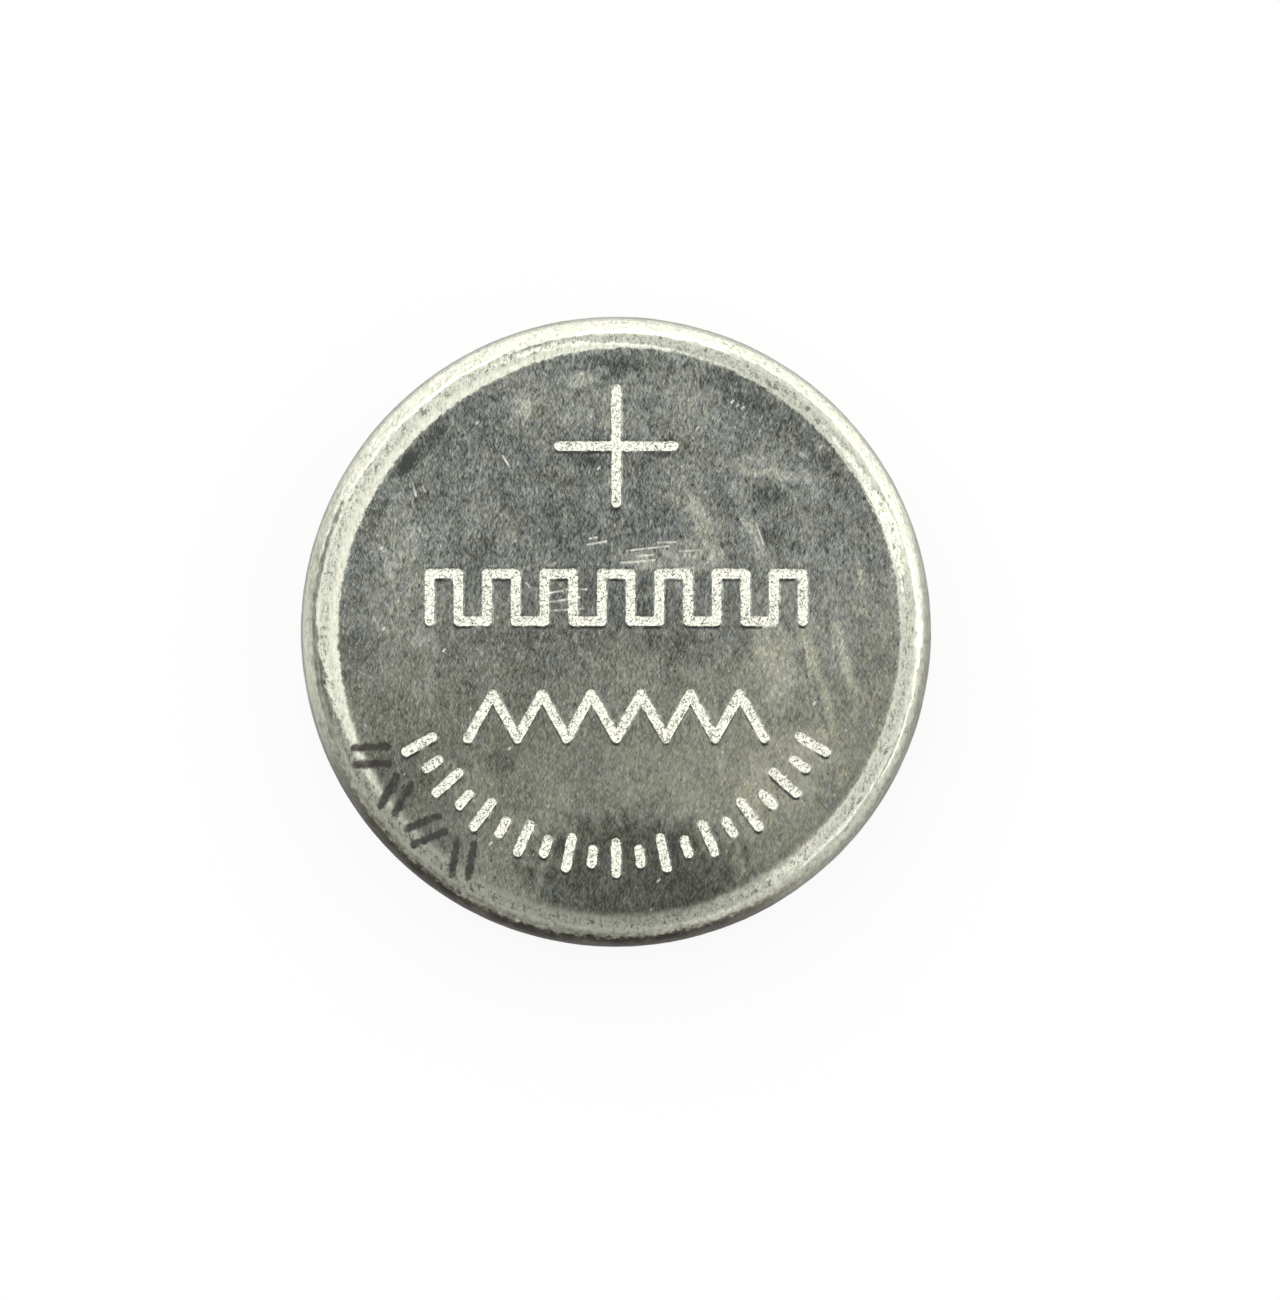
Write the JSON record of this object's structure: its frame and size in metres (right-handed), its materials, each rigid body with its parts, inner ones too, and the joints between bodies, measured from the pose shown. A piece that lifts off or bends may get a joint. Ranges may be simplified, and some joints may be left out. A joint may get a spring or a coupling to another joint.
{
  "type": "watch battery capacitor",
  "caption": "Coin-shaped rechargeable cell of a solar watch: crimped steel can with the positive face on top, gasket, steel cap and electrode stack.",
  "frame": {"origin": "centre of the outer face of the negative terminal, which the cell stands on", "axes": "+Z through the cell from the negative terminal to the positive face, +Y towards the plus sign, +X to the right when the plus sign is at the top"},
  "size_m": [0.0094, 0.0094, 0.0021],
  "materials": {
    "can_steel": "stainless steel, satin face with polished rounded edge, scuffed",
    "gasket_plastic": "moulded polypropylene, milky",
    "cap_steel": "stainless steel, satin",
    "collector_foil": "rolled stainless foil",
    "positive_oxide": "pressed powder, matt",
    "separator_felt": "glass fibre felt",
    "negative_oxide": "pressed powder, matt",
    "carbon_paste": "dried conductive paint, matt"
  },
  "bodies": {
    "root": {"positive_can": "can_steel", "gasket": "gasket_plastic", "negative_cap": "cap_steel", "positive_collector": "collector_foil", "positive_pellet": "positive_oxide", "separator": "separator_felt", "negative_pellet": "negative_oxide", "negative_paste": "carbon_paste"}
  },
  "joints": []
}
